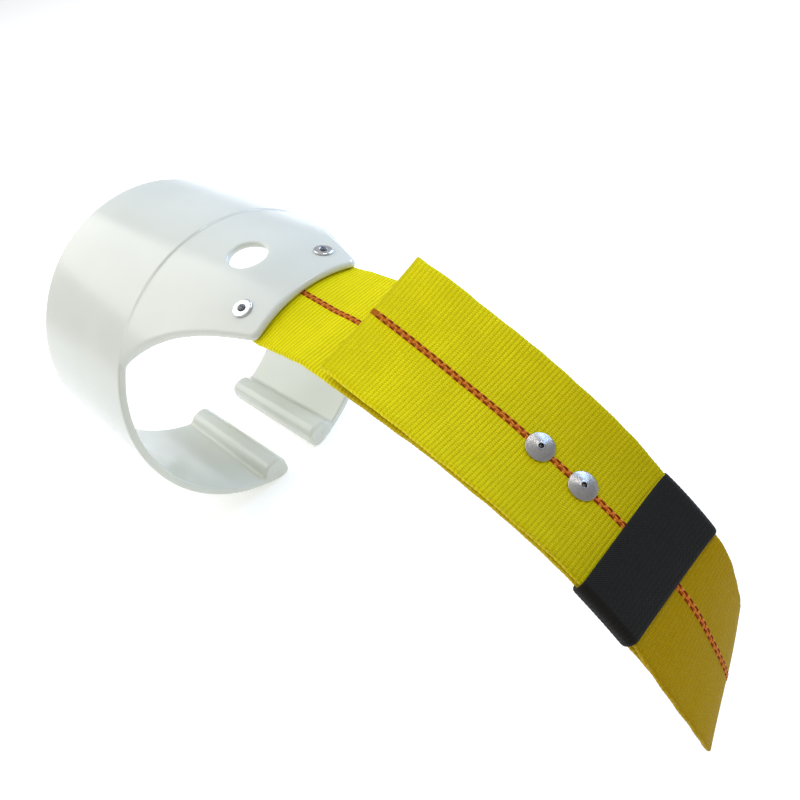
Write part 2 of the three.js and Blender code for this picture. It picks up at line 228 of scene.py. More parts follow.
def field_mesh(sdf, lo, hi, h, relax=4):
    lo, hi = np.array(lo, float), np.array(hi, float)
    B = 6
    nb = np.ceil((hi - lo) / (h * B)).astype(int)
    n = nb * B + 1
    V = np.full(n, 9.0, np.float32)
    # blocks near the surface
    bi = np.stack(np.meshgrid(*[np.arange(k) for k in nb], indexing="ij"), -1).reshape(-1, 3)
    bc = lo + (bi * B + B / 2) * h
    sc = np.concatenate([sdf(c) for c in np.array_split(bc, max(1, len(bc) // 50000))])
    near = np.abs(sc) < h * B * 0.5 * math.sqrt(3) * 1.6 + 1.5
    inside = bi[(~near) & (sc < 0)]
    for b in inside:
        i, j, k = b * B
        V[i:i + B + 1, j:j + B + 1, k:k + B + 1] = -9.0
    loc = np.stack(np.meshgrid(*[np.arange(B + 1)] * 3, indexing="ij"), -1).reshape(-1, 3)
    todo = bi[near]
    for part in np.array_split(todo, max(1, len(todo) // 300)):
        idx = (part[:, None, :] * B + loc[None]).reshape(-1, 3)
        V[idx[:, 0], idx[:, 1], idx[:, 2]] = sdf(lo + idx * h)
    S = V < 0
    cnt = np.zeros(n - 1, np.uint8)
    for a in (0, 1):
        for b in (0, 1):
            for c in (0, 1):
                cnt += S[a:n[0] - 1 + a, b:n[1] - 1 + b, c:n[2] - 1 + c]
    act = (cnt > 0) & (cnt < 8)
    cells = np.argwhere(act)
    ids = np.full(n - 1, -1, np.int64)
    ids[act] = np.arange(len(cells))
    acc = np.zeros((len(cells), 3))
    num = np.zeros(len(cells))
    corners = [(a, b, c) for a in (0, 1) for b in (0, 1) for c in (0, 1)]
    vals = {c: V[cells[:, 0] + c[0], cells[:, 1] + c[1], cells[:, 2] + c[2]].astype(float) for c in corners}
    for c in corners:
        for ax in range(3):
            if c[ax] == 0:
                c2 = list(c); c2[ax] = 1; c2 = tuple(c2)
                a, b = vals[c], vals[c2]
                cross = (a < 0) != (b < 0)
                t = np.where(cross, a / np.where(cross, a - b, 1), 0)
                p = np.zeros((len(cells), 3)) + np.array(c, float)
                p[:, ax] += t
                acc[cross] += p[cross]
                num[cross] += 1
    P = lo + (cells + acc / num[:, None]) * h
    faces = []
    for ax in range(3):
        u, v = (ax + 1) % 3, (ax + 2) % 3
        sl0 = [slice(None)] * 3; sl1 = [slice(None)] * 3
        sl0[ax] = slice(0, -1); sl1[ax] = slice(1, None)
        a, b = S[tuple(sl0)], S[tuple(sl1)]
        for flip, mask in ((False, a & ~b), (True, ~a & b)):
            e = np.argwhere(mask)
            ok = (e[:, u] > 0) & (e[:, v] > 0) & (e[:, u] < n[u] - 1) & (e[:, v] < n[v] - 1)
            e = e[ok]
            q = []
            for du, dv in ((-1, -1), (0, -1), (0, 0), (-1, 0)):
                c = e.copy(); c[:, u] += du; c[:, v] += dv
                q.append(ids[c[:, 0], c[:, 1], c[:, 2]])
            q = np.stack(q, 1)
            faces.append(q[:, ::-1] if flip else q)
    F = np.concatenate(faces)

    def project(P, times, cap=0.6):
        for _ in range(times):
            e = 0.02
            f0 = sdf(P)
            G = np.stack([(sdf(P + d) - sdf(P - d)) / (2 * e) for d in np.eye(3) * e], 1)
            step = f0[:, None] * G / np.maximum((G * G).sum(1), 0.05)[:, None]
            ln = np.linalg.norm(step, axis=1, keepdims=True)
            P = P - step * np.minimum(1, cap * h / np.maximum(ln, 1e-9))
        return P

    P = project(P, 2)
    E = np.unique(np.sort(np.concatenate([F[:, [0, 1]], F[:, [1, 2]], F[:, [2, 3]], F[:, [3, 0]]]), axis=1), axis=0)
    deg = np.bincount(E.ravel(), minlength=len(P))
    for _ in range(relax):
        A = np.stack([np.bincount(E[:, 0], P[E[:, 1], c], len(P)) + np.bincount(E[:, 1], P[E[:, 0], c], len(P)) for c in range(3)], 1)
        P = P + 0.5 * (A / deg[:, None] - P)
        P = project(P, 1)
    P = project(P, 1)
    return P, F


step = 0.72
P, F = field_mesh(sdf_cuff, (-74.5, -70.5, -72.5), (66.0, 70.5, 73.0), step)
cuff = new_mesh("cuff_moulding", P, F)

# ------------------------------------------------------------------ strap path
# >>> strap geometry
def catmull(points):
    """Centripetal Catmull-Rom through the points, as dense samples and the control index of each."""
    Q = np.asarray(points, float)
    A = np.vstack([2 * Q[0] - Q[1], Q, 2 * Q[-1] - Q[-2]])
    out, par = [], []
    steps = 24
    for i in range(len(Q) - 1):
        p0, p1, p2, p3 = A[i], A[i + 1], A[i + 2], A[i + 3]
        d0, d1, d2 = (max(np.linalg.norm(b - a) ** 0.5, 1e-4) for a, b in ((p0, p1), (p1, p2), (p2, p3)))
        t1 = ((p1 - p0) / d0 - (p2 - p0) / (d0 + d1) + (p2 - p1) / d1) * d1
        t2 = ((p2 - p1) / d1 - (p3 - p1) / (d1 + d2) + (p3 - p2) / d2) * d1
        t = np.arange(steps)[:, None] / steps
        out.append(p1 + t1 * t + (-3 * p1 + 3 * p2 - 2 * t1 - t2) * t ** 2 + (2 * p1 - 2 * p2 + t1 + t2) * t ** 3)
        par.append(i + t[:, 0])
    out.append(Q[-1:])
    par.append([len(Q) - 1.0])
    return np.vstack(out), np.concatenate(par)


KX, KZ = 1.850 * R, -1.092 * R
ARC_R, A0, A1 = 117.65, 28.7, 51.0
FLEX_X = 80.0
UPPER_R = ARC_R - WEB_T / 2
LOWER_R = UPPER_R - WEB_T - GAP


def on_arc(rad, deg):
    a = math.radians(deg)
    return [KX + rad * math.sin(a), KZ + rad * math.cos(a)]


def offset_point(a, b, c, d):
    t = np.subtract(c, a)
    t = t / np.linalg.norm(t)
    return [b[0] + t[1] * d, b[1] - t[0] * d]


TIP_TOP = float(crest(TIP)) - TT - GAP - 0.05
root_x = [42.0, 47.0, 52.0, 57.0, 61.0, 64.5, 68.5, 74.0, 80.0]
stations = []      # x, z, sag, cup, roll, side shift, lean angle of the roll direction (or None)
for xr in root_x:
    over = max(0.0, xr - TIP)
    z = (float(crest(min(xr, TIP))) - TT - GAP - 0.05) - 0.13 * over - WEB_T / 2
    flat = 1 - 0.85 * min(1.0, over / 15)
    stations.append([xr, z, 4.63 * flat, 0, 0, 0, None])
for (x, z), cup, roll in zip([[1.317, 0.845], [1.459, 0.824], [1.661, 0.778], [1.917, 0.722], [2.06, 0.690]],
                             [0.0, 0.3, 0.8, 1.4, 1.9], [0.0, 0.3, 0.8, 1.4, 1.9]):
    stations.append([x * R, z * R, 0.0, cup, roll, 0, None])
upper = [[x * R, z * R] for x, z in [[1.503, 0.977], [1.69, 0.906], [1.868, 0.833], [2.039, 0.757], [2.18, 0.695],
                                      [2.32, 0.628], [2.50, 0.5285]]]
upper_cr = [(0.6, 5.4), (0.95, 5.1), (1.2, 3.7), (1.9, 3.0), (2.0, 2.2), (2.4, 1.3), (3.1, 0.0)]
for i in (4, 5, 6):
    nxt = upper[i + 1] if i < 6 else on_arc(UPPER_R, A0)
    p = offset_point(upper[i - 1], upper[i], nxt, WEB_T + GAP)
    stations.append([p[0], p[1], 0, upper_cr[i][0], upper_cr[i][1], 0, None])
arc_degs = [A0 + (A1 - A0) * i / 8 for i in range(9)]
arc_cup = [3.1, 2.7, 2.0, 1.3, 0.9, 0.8, 0.7, 0.6, 0.6]
arc_roll = [-1.4, -2.0, -2.7, -3.1, -3.3, -3.3, -3.3, -3.3, -3.4]
for a, c, r_ in zip(arc_degs, arc_cup, arc_roll):
    p = on_arc(LOWER_R, a)
    stations.append([p[0], p[1], 0, c, r_, 0, None])
I_EYE0 = len(stations)
eye = [[3.222, -0.118], [3.232, -0.20], [3.218, -0.31], [3.203, -0.42], [3.210, -0.53], [3.266, -0.606],
       [3.326, -0.610], [3.368, -0.548], [3.375, -0.443], [3.348, -0.326], [3.300, -0.207], [3.250, -0.098]]
eye_roll = [-3.6, -4.3, -5.3, -6.3, -7.1, -7.7, -8.1, -8.2, -7.9, -7.0, -5.6, -4.3]
eye_side = [0.7, 2.2, 4.8, 7.8, 9.4, 9.2, 6.6, 3.0, 1.0, 0.2, 0.0, 0.0]
eye_lean = [56, 61, 66, 70, 72, 73, 73, 72, 70, 66, 61, 56]
for (x, z), r_, ys, ln in zip(eye, eye_roll, eye_side, eye_lean):
    stations.append([x * R, z * R, 0, 0.4, r_, ys, ln])
I_EYE1 = len(stations)
for a, c, r_ in zip(arc_degs[::-1], arc_cup[::-1], arc_roll[::-1]):
    p = on_arc(UPPER_R, a)
    stations.append([p[0], p[1], 0, c, r_, 0, None])
for (x, z), (c, r_) in zip(upper[::-1], upper_cr[::-1]):
    stations.append([x, z, 0, c, r_, 0, None])

_pts = np.array([[s[0], s[1]] for s in stations])
_line, _par = catmull(_pts)
_len = np.concatenate([[0], np.cumsum(np.linalg.norm(np.diff(_line, axis=0), axis=1))])
LENGTH = float(_len[-1])
_idx = np.arange(len(stations))


def _lean_angles():
    """Direction in (x, z) along which cup and roll lift the webbing's edges, at each station."""
    t = np.gradient(_pts, axis=0)
    ang = np.degrees(np.arctan2(-t[:, 1], t[:, 0]))       # slope below horizontal, going forward
    out = []
    for i, s in enumerate(stations):
        if s[6] is not None:
            out.append(s[6])
        elif i < I_EYE0:
            out.append(ang[i])
        else:
            out.append(math.degrees(math.atan2(t[i, 1], -t[i, 0])))
    out = np.array(out)
    out[:len(root_x)] = np.minimum(out[:len(root_x)], 9.0)
    out[-4:] = [18, 12, 6, 0]
    return out


_lean = _lean_angles()
_att = np.array([[s[2], s[3], s[4], s[5], 0.0, 0.0] for s in stations], float)
_att[I_EYE0 - 1, 3] = 0.2
_att[I_EYE1 - 4:I_EYE1 + 2, 5] = [0.4, 0.7, 0.95, 1.0, 0.8, 0.15]     # near edge of the outer run stands out
_att[I_EYE0:I_EYE1, 4] = [0.0, 0.6, 1.6, 2.8, 3.9, 4.6, 4.8, 4.6, 3.6, 2.2, 0.9, 0.2]   # far edge of the eye reaches less far


def strap_frame(s):
    """Middle line, unit normal (path side), attributes at arclength s (arrays)."""
    s = np.asarray(s, float)
    e = 0.4
    P = np.stack([np.interp(s, _len, _line[:, k]) for k in (0, 1)], -1)
    Pa = np.stack([np.interp(np.clip(s - e, 0, LENGTH), _len, _line[:, k]) for k in (0, 1)], -1)
    Pb = np.stack([np.interp(np.clip(s + e, 0, LENGTH), _len, _line[:, k]) for k in (0, 1)], -1)
    T = Pb - Pa
    T /= np.linalg.norm(T, axis=-1, keepdims=True)
    N = np.stack([-T[..., 1], T[..., 0]], -1)
    q = np.interp(s, _len, _par)
    i = np.clip(np.floor(q).astype(int), 0, len(stations) - 2)
    f = q - i
    f = f * f * (3 - 2 * f) * 0.35 + f * 0.65
    A = _att[i] * (1 - f)[..., None] + _att[i + 1] * f[..., None]
    lean = np.radians(_lean[i] * (1 - f) + _lean[i + 1] * f)
    return P, T, N, A, lean


def strap_points(s, v, w):
    """Points at arclength s, v = -1..1 across (near to far), w mm off the middle along the path normal."""
    P, T, N, A, lean = strap_frame(s)
    v = np.asarray(v, float)
    lift = -A[..., 0] * v * v + A[..., 1] * v * v + A[..., 2] * v
    short = A[..., 4] * np.maximum(0, v) ** 2
    x = P[..., 0] + N[..., 0] * w + np.sin(lean) * lift - 0.35 * short
    z = P[..., 1] + N[..., 1] * w + np.cos(lean) * lift + short
    y = v * WEB_W / 2 + A[..., 3] - A[..., 5] * np.maximum(0, -v) ** 2
    return np.stack([x, y, z], -1)


S_EYE0 = float(np.interp(I_EYE0, _par, _len))
S_EYE1 = float(np.interp(I_EYE1 - 1, _par, _len))
# <<< strap geometry


# ------------------------------------------------------------------ webbing
RIB = 1.5
rng = np.random.default_rng(7)


def rib_pitch(s):
    return np.interp(LENGTH - s, [0, 15, 60, 95, 110], [1.56, 1.55, 1.49, 1.45, 1.5])


_sf = np.linspace(0, LENGTH, 8001)
_ph = np.concatenate([[0], np.cumsum(0.5 * (1 / rib_pitch(_sf[1:]) + 1 / rib_pitch(_sf[:-1])) * np.diff(_sf))])


def rib_phase(s):
    return np.interp(s, _sf, _ph)


def phase_to_s(ph):
    return np.interp(ph, _ph, _sf)


RIBS = int(math.floor(_ph[-1]))
rib_gain = 1 + 0.06 * rng.standard_normal(RIBS + 2)
rib_gain = np.clip(rib_gain, 0.7, 1.3)
SUB = 6
rib_shape = {4: [0.0, 0.80, 1.0, 0.80], 6: [0.0, 0.62, 0.94, 1.0, 0.94, 0.62]}[SUB]
AMP = 0.15
SEAL = 2.0          # heat-sealed length at the free end


def build_webbing():
    ks = np.arange(0, RIBS * SUB + 1)
    S = phase_to_s(ks / SUB)
    S = S[S < LENGTH - 0.5]
    tail = LENGTH - np.array([0.42, 0.3, 0.18, 0.08, 0.0])
    h = np.array([rib_shape[k % SUB] for k in ks[:len(S)]]) * rib_gain[(ks[:len(S)] // SUB)]
    S = np.concatenate([S, tail])
    h = np.concatenate([h, np.full(len(tail), 0.7)])
    seal = np.clip((S - (LENGTH - SEAL)) / SEAL, 0, 1)
    h = h * (1 - seal) + 0.75 * seal
    tame = 0.5 + 0.5 * np.clip((LENGTH - S) / 45, 0, 1) ** 0.8
    inside = np.clip((S - (S_EYE0 - 6)) / 14, 0, 1) * np.clip((S_EYE1 + 6 - S) / 14, 0, 1)
    tame = np.minimum(tame, 1 - 0.35 * inside)
    h = 0.78 + (h - 0.78) * tame
    endw = np.ones(len(S))
    endw[-5:] = [0.97, 0.9, 0.78, 0.6, 0.38]
    start = np.ones(len(S))
    start[:3] = [0.4, 0.8, 0.97]
    # section: (v, w, outward normal in (y, w))
    nf = 26
    u = np.linspace(-1, 1, nf + 1)
    ends = 5
    cap = 1.05
    flat = WEB_W / 2 - cap
    sec = [(y, 1.0, 0.0, 1.0) for y in u * flat]
    ang = np.linspace(90, -90, ends + 2)[1:-1]
    sec += [(flat + cap * math.cos(math.radians(a)), math.sin(math.radians(a)), math.cos(math.radians(a)), math.sin(math.radians(a))) for a in ang]
    sec += [(y, -1.0, 0.0, -1.0) for y in -u * flat]
    sec += [(-flat - cap * math.cos(math.radians(a)), -math.sin(math.radians(a)), -math.cos(math.radians(a)), -math.sin(math.radians(a))) for a in ang]
    sec = np.array(sec)
    m = len(sec)
    SS, Y = np.meshgrid(S, sec[:, 0], indexing="ij")
    H = h[:, None] * np.ones(m)[None]
    d = AMP * (H - 0.78)
    half = WEB_T / 2 * (endw * start)[:, None]
    wave = 0.10 * np.sin(SS * 0.21 + 1.3) + 0.07 * np.sin(SS * 0.63)
    edge = np.clip((np.abs(Y) - 20) / 5, 0, 1)
    Yd = Y + sec[None, :, 2] * d * 0.7 + np.sign(Y) * edge * wave * 0.8
    thick = half * (1 + 0.05 * np.exp(-((np.abs(Y) - 23.3) / 1.0) ** 2))
    Wd = sec[None, :, 1] * thick + sec[None, :, 3] * d * np.minimum(1, half / 1.1)
    P = strap_points(SS, Yd / (WEB_W / 2), Wd)
    n = len(S)
    idx = np.arange(n * m).reshape(n, m)
    a, b = idx[:-1], idx[1:]
    F = np.stack([a, np.roll(a, -1, 1), np.roll(b, -1, 1), b], -1).reshape(-1, 4)
    # end caps
    caps = []
    for row, flip in ((idx[0], False), (idx[-1], True)):
        top = row[:nf + 1]
        bot = row[nf + 1 + ends:2 * nf + 2 + ends][::-1]
        e1 = row[nf + 1:nf + 1 + ends]
        e2 = row[2 * nf + 2 + ends:]
        q = [np.stack([top[:-1], top[1:], bot[1:], bot[:-1]], 1)]
        side = np.concatenate([[top[-1]], e1, [bot[-1]]])
        q.append(np.array([[side[0], side[1], side[-2], side[-1]], [side[1], side[2], side[-3], side[-2]],
                           [side[2], side[3], side[3], side[-3]]]))
        side = np.concatenate([[bot[0]], e2, [top[0]]])
        q.append(np.array([[side[0], side[1], side[-2], side[-1]], [side[1], side[2], side[-3], side[-2]],
                           [side[2], side[3], side[3], side[-3]]]))
        q = np.concatenate(q)
        caps.append(q if flip else q[:, ::-1])
    caps = np.concatenate(caps)
    tri = caps[(caps[:, 2] == caps[:, 3]) | (caps[:, 1] == caps[:, 2]) | (caps[:, 0] == caps[:, 1])]
    quad = caps[~((caps[:, 2] == caps[:, 3]) | (caps[:, 1] == caps[:, 2]) | (caps[:, 0] == caps[:, 1]))]
    ob = new_mesh("webbing", P.reshape(-1, 3), np.concatenate([F, quad]))
    bm = bmesh.new()
    bm.from_mesh(ob.data)
    bm.verts.ensure_lookup_table()
    for t in tri:
        ids = list(dict.fromkeys(int(i) for i in t))
        if len(ids) == 3:
            bm.faces.new([bm.verts[i] for i in ids]).smooth = True
    bmesh.ops.recalc_face_normals(bm, faces=bm.faces[:])
    bm.to_mesh(ob.data)
    bm.free()
    attribute(ob, "rib", H.ravel())
    attribute(ob, "along", SS.ravel())
    attribute(ob, "across", Y.ravel())
    attribute(ob, "side", np.broadcast_to(sec[None, :, 1], SS.shape).ravel())
    attribute(ob, "seal", np.broadcast_to(seal[:, None], SS.shape).ravel())
    return ob


webbing = build_webbing()

TRACER_Y = 0.25


def grains(name, items, lon=10, lat=6):
    """Small smooth threads: items = list of arrays (s, y, w, length, width, height, skew, kind)."""
    it = np.array(items, float)
    th = np.linspace(0, 2 * np.pi, lon, endpoint=False)
    ph = np.linspace(0, np.pi, lat + 1)[1:-1]
    base = [(0, 0, 1.0)]
    for p in ph:
        for t in th:
            base.append((math.sin(p) * math.cos(t), math.sin(p) * math.sin(t), math.cos(p)))
    base.append((0, 0, -1.0))
    base = np.array(base)
    f = []
    k = len(ph)
    for j in range(lon):
        f.append((0, 1 + j, 1 + (j + 1) % lon, 1 + (j + 1) % lon))
    for r_ in range(k - 1):
        for j in range(lon):
            a = 1 + r_ * lon + j
            b = 1 + r_ * lon + (j + 1) % lon
            f.append((a, a + lon, b + lon, b))
    last = 1 + k * lon
    for j in range(lon):
        a = 1 + (k - 1) * lon + j
        b = 1 + (k - 1) * lon + (j + 1) % lon
        f.append((a, last, b, b))
    f = np.array(f)
    # poles point along the thread
    L_, Wd, Ht = it[:, 3], it[:, 4], it[:, 5]
    lx = base[None, :, 2] * L_[:, None] / 2
    ly = base[None, :, 0] * Wd[:, None] / 2 + it[:, 6][:, None] * lx
    lz = base[None, :, 1] * Ht[:, None]
    ss = it[:, 0][:, None] + lx
    bow = 0.06 * (1 - (2 * lx / L_[:, None]) ** 2)
    side = np.sign(it[:, 2])[:, None]
    ww = it[:, 2][:, None] + (lz + bow) * side
    P = strap_points(np.clip(ss, 0, LENGTH), (it[:, 1][:, None] + ly) / (WEB_W / 2), ww)
    n = len(it)
    F = (f[None] + (np.arange(n) * len(base))[:, None, None]).reshape(-1, 4)
    tri = F[F[:, 2] == F[:, 3]][:, :3]
    quad = F[F[:, 2] != F[:, 3]]
    me = bpy.data.meshes.new(name)
    me.from_pydata(to_row(P.reshape(-1, 3)).tolist(), [], quad.tolist() + tri.tolist())
    me.update()
    bm = bmesh.new()
    bm.from_mesh(me)
    bmesh.ops.recalc_face_normals(bm, faces=bm.faces[:])
    bm.to_mesh(me)
    bm.free()
    me.polygons.foreach_set("use_smooth", np.ones(len(me.polygons), bool))
    ob = bpy.data.objects.new(name, me)
    bpy.context.scene.collection.objects.link(ob)
    attribute(ob, "kind", np.repeat(it[:, 7], len(base)))
    attribute(ob, "along", ss.ravel())
    attribute(ob, "tone", np.repeat(rng.random(n), len(base)))
    return ob


def tracer_items():
    out = []
    s_root_end = float(np.interp(9, _par, _len)) + 34
    for k in range(2, RIBS - 1):
        s = float(phase_to_s(k + 0.5))
        if s > LENGTH - SEAL - 0.2:
            continue
        faces = [-1.0]
        if s < s_root_end or S_EYE0 - 3 < s < S_EYE1 + 3:
            faces.append(1.0)
        for sd in faces:
            w = sd * (WEB_T / 2 - 0.02)
            j = 0.06 * rng.standard_normal(4)
            dark_row = 0.86 if k % 2 else -0.86
            out.append((s + j[0], TRACER_Y + dark_row + j[1] * 0.7, w, 2.05, 0.56, 0.26, 0.0, 1.0))
            out.append((s + j[2], TRACER_Y - dark_row * 0.92, w, 1.35, 0.80, 0.19, 0.25 * np.sign(dark_row), 0.0))
            out.append((s + 0.2 + j[3], TRACER_Y + 0.02, w, 1.6, 0.66, 0.22, 0.35 if k % 2 else -0.35, 0.0))
    return out


tracer = grains("webbing_tracer", tracer_items(), lon=8, lat=5)


# ------------------------------------------------------------------ keeper band
K0, K1 = 37.2, 48.5
K_MID = (UPPER_R + LOWER_R) / 2


def keeper_point(deg, rad, y):
    a = np.radians(deg)
    v = y / (WEB_W / 2)
    lift = 0.75 * np.minimum(v * v, 1) - 3.3 * v
    rr = rad + lift
    # the band sits slightly skewed: narrower on the near side
    w_ = np.clip(v, -1.05, 1.05)
    a = np.radians(42.35 + 0.2 * w_ + (deg - (K0 + K1) / 2) * (5.6 + 0.4 * w_) / 5.65)
    return np.stack([KX + rr * np.sin(a), y, KZ + rr * np.cos(a)], -1)


def rounded_loop(hw, hh, r, n_flat, n_side, n_corner):
    pts, nor = [], []

    def seg(p0, p1, nv, n):
        for i in range(n):
            t = i / n
            pts.append((p0[0] + (p1[0] - p0[0]) * t, p0[1] + (p1[1] - p0[1]) * t))
            nor.append(nv)

    def corner(cx, cy, a0, n):
        for i in range(n):
            a = math.radians(a0 - 90 * i / n)
            pts.append((cx + r * math.cos(a), cy + r * math.sin(a)))
            nor.append((math.cos(a), math.sin(a)))

    seg((-hw + r, hh), (hw - r, hh), (0, 1), n_flat)
    corner(hw - r, hh - r, 90, n_corner)
    seg((hw, hh - r), (hw, -hh + r), (1, 0), n_side)
    corner(hw - r, -hh + r, 0, n_corner)
    seg((hw - r, -hh), (-hw + r, -hh), (0, -1), n_flat)
    corner(-hw + r, -hh + r, -90, n_corner)
    seg((-hw, -hh + r), (-hw, hh - r), (-1, 0), n_side)
    corner(-hw + r, hh - r, 180, n_corner)
    return np.array(pts), np.array(nor)


def build_keeper():
    pts, nor = rounded_loop(25.9, 3.1, 2.6, 44, 2, 11)
    arc = math.radians(K1 - K0) * K_MID
    wales = 15
    per = 6
    nb = wales * per
    t = np.linspace(-1, 1, nb + 1)
    th = 0.62
    flat = arc / 2 - 0.6
    sec = []
    for x in t * flat:
        ph = ((x + flat) / (2 * flat) * wales) % 1
        sec.append((x, th - 0.09 * (1 - abs(math.sin(math.pi * ph)) ** 0.7), 0))
    for a in np.linspace(90, -90, 7)[1:-1]:
        sec.append((flat + 0.6 * math.cos(math.radians(a)), th * 0.93 * math.sin(math.radians(a)), 1))
    for x in -t * flat:
        sec.append((x, -th * 0.93, 0))
    for a in np.linspace(-90, -270, 7)[1:-1]:
        sec.append((-flat + 0.6 * math.cos(math.radians(a)), th * 0.93 * math.sin(math.radians(a)), 1))
    sec = np.array(sec)
    n, m = len(pts), len(sec)
    per_len = np.concatenate([[0], np.cumsum(np.linalg.norm(np.diff(np.vstack([pts, pts[:1]]), axis=0), axis=1))])[:-1]
    wob = 1 + 0.0 * per_len
    Y = pts[:, 0][:, None] + nor[:, 0][:, None] * sec[:, 1][None]
    Rr = K_MID + pts[:, 1][:, None] + nor[:, 1][:, None] * sec[:, 1][None]
    # the rims draw in slightly towards the webbing
    pull = 0.16 * (np.abs(sec[:, 0]) / (arc / 2)) ** 6
    Rr = Rr - nor[:, 1][:, None] * pull[None]
    Y = Y - nor[:, 0][:, None] * pull[None] * 0.6
    wav = 0.10 * np.sin(per_len / 9.0)[:, None] * (sec[:, 0] / (arc / 2))[None] ** 2
    X = sec[:, 0][None] + wav
    deg = (K0 + K1) / 2 + np.degrees(X / K_MID)
    P = keeper_point(deg, Rr, Y)
    idx = np.arange(n * m).reshape(n, m)
    a, b = idx, np.roll(idx, -1, 0)
    F = np.stack([a, b, np.roll(b, -1, 1), np.roll(a, -1, 1)], -1).reshape(-1, 4)
    ob = new_mesh("keeper_band", P.reshape(-1, 3), F)
    attribute(ob, "along", np.repeat(per_len, m))
    attribute(ob, "across", X.ravel())
    return ob


keeper = build_keeper()


def build_lap():
    arc = math.radians(K1 - K0) * K_MID
    hw, th = 9.0, 0.62
    mid = K_MID - 3.1 - 0.62 - th + 0.12
    cols = np.linspace(-1, 1, 40)
    per = 60
    t = np.linspace(-1, 1, per + 1)
    sec = []
    for y in t * (hw - 0.5):
        sec.append((y, -th))
    for a in np.linspace(-90, 90, 7)[1:-1]:
        sec.append((hw - 0.5 + 0.5 * math.cos(math.radians(a)), th * math.sin(math.radians(a))))
    for y in -t * (hw - 0.5):
        sec.append((y, th))
    for a in np.linspace(90, 270, 7)[1:-1]:
        sec.append((-hw + 0.5 + 0.5 * math.cos(math.radians(a)), th * math.sin(math.radians(a))))
    sec = np.array(sec)
    xs = np.concatenate([[-1.0, -0.995, -0.985], cols[1:-1] * 0.97, [0.985, 0.995, 1.0]]) * (arc / 2 - 0.5)
    sq = np.concatenate([[0.35, 0.75, 0.95], np.ones(38), [0.95, 0.75, 0.35]])
    n, m = len(xs), len(sec)
    Y = np.broadcast_to(sec[:, 0][None], (n, m)) * 1.0
    dent = 0.10 * np.exp(-((np.abs(Y) - 6.0) / 0.7) ** 2) * (sec[:, 1] < 0)[None]
    Rr = mid + sec[:, 1][None] * sq[:, None] + dent
    deg = (K0 + K1) / 2 + np.degrees(xs / K_MID)[:, None] + 0 * Rr
    P = keeper_point(deg, Rr, Y)
    idx = np.arange(n * m).reshape(n, m)
    a, b = idx[:-1], idx[1:]
    F = [np.stack([a, np.roll(a, -1, 1), np.roll(b, -1, 1), b], -1).reshape(-1, 4)]
    k = per
    for row in (idx[0], idx[-1]):
        lo_, hi_ = row[:k + 1], row[k + 6:2 * k + 7][::-1]
        F.append(np.stack([lo_[:-1], lo_[1:], hi_[1:], hi_[:-1]], 1))
    ob = new_mesh("keeper_lap_joint", P.reshape(-1, 3), np.concatenate(F))
    bm = bmesh.new()
    bm.from_mesh(ob.data)
    holes = [e for e in bm.edges if len(e.link_faces) == 1]
    bmesh.ops.holes_fill(bm, edges=holes, sides=20)
    bmesh.ops.recalc_face_normals(bm, faces=bm.faces[:])
    bm.to_mesh(ob.data)
    bm.free()
    return ob, mid - th


lap, LAP_OUT = build_lap()


def build_stitches():
    th_ = np.linspace(0, 2 * np.pi, 10, endpoint=False)
    V, F, base = [], [], 0
    rows = [-6.0, 6.0]
    arc = math.radians(K1 - K0) * K_MID
    n = 8
    for y0 in rows:
        for i in range(n):
            c = -arc / 2 + arc * (i + 0.5) / n
            L2 = arc / n * 0.43
            rings = np.linspace(-1, 1, 9)
            for t in rings:
                x = c + t * L2
                rr = 0.34 * math.sqrt(max(0.03, 1 - abs(t) ** 3))
                dip = 0.24 * abs(t) ** 2.5
                deg = (K0 + K1) / 2 + math.degrees(x / K_MID)
                tw = 0.25 * t
                V.append(keeper_point(np.full(10, deg), LAP_OUT - 0.12 + dip + rr * np.sin(th_), y0 + tw * 0.3 + rr * np.cos(th_)))
            for r_ in range(8):
                for j in range(10):
                    a = base + r_ * 10 + j
                    b = base + r_ * 10 + (j + 1) % 10
                    F.append((a, b, b + 10, a + 10))
            for r_, flip in ((0, True), (8, False)):
                ring = [base + r_ * 10 + j for j in range(10)]
                for j in (1, 3, 5, 7):
                    q = (ring[0], ring[j], ring[j + 1], ring[j + 2]) if j < 7 else (ring[0], ring[7], ring[8], ring[9])
                    F.append(q[::-1] if flip else q)
            base += 90
    me_v = np.concatenate(V)
    ok = [f for f in F if len(set(f)) == 4]
    ob = new_mesh("keeper_stitching", me_v, ok)
    bm = bmesh.new()
    bm.from_mesh(ob.data)
    bmesh.ops.holes_fill(bm, edges=[e for e in bm.edges if len(e.link_faces) == 1], sides=12)
    bmesh.ops.recalc_face_normals(bm, faces=bm.faces[:])
    bm.to_mesh(ob.data)
    bm.free()
    return ob


stitches = build_stitches()

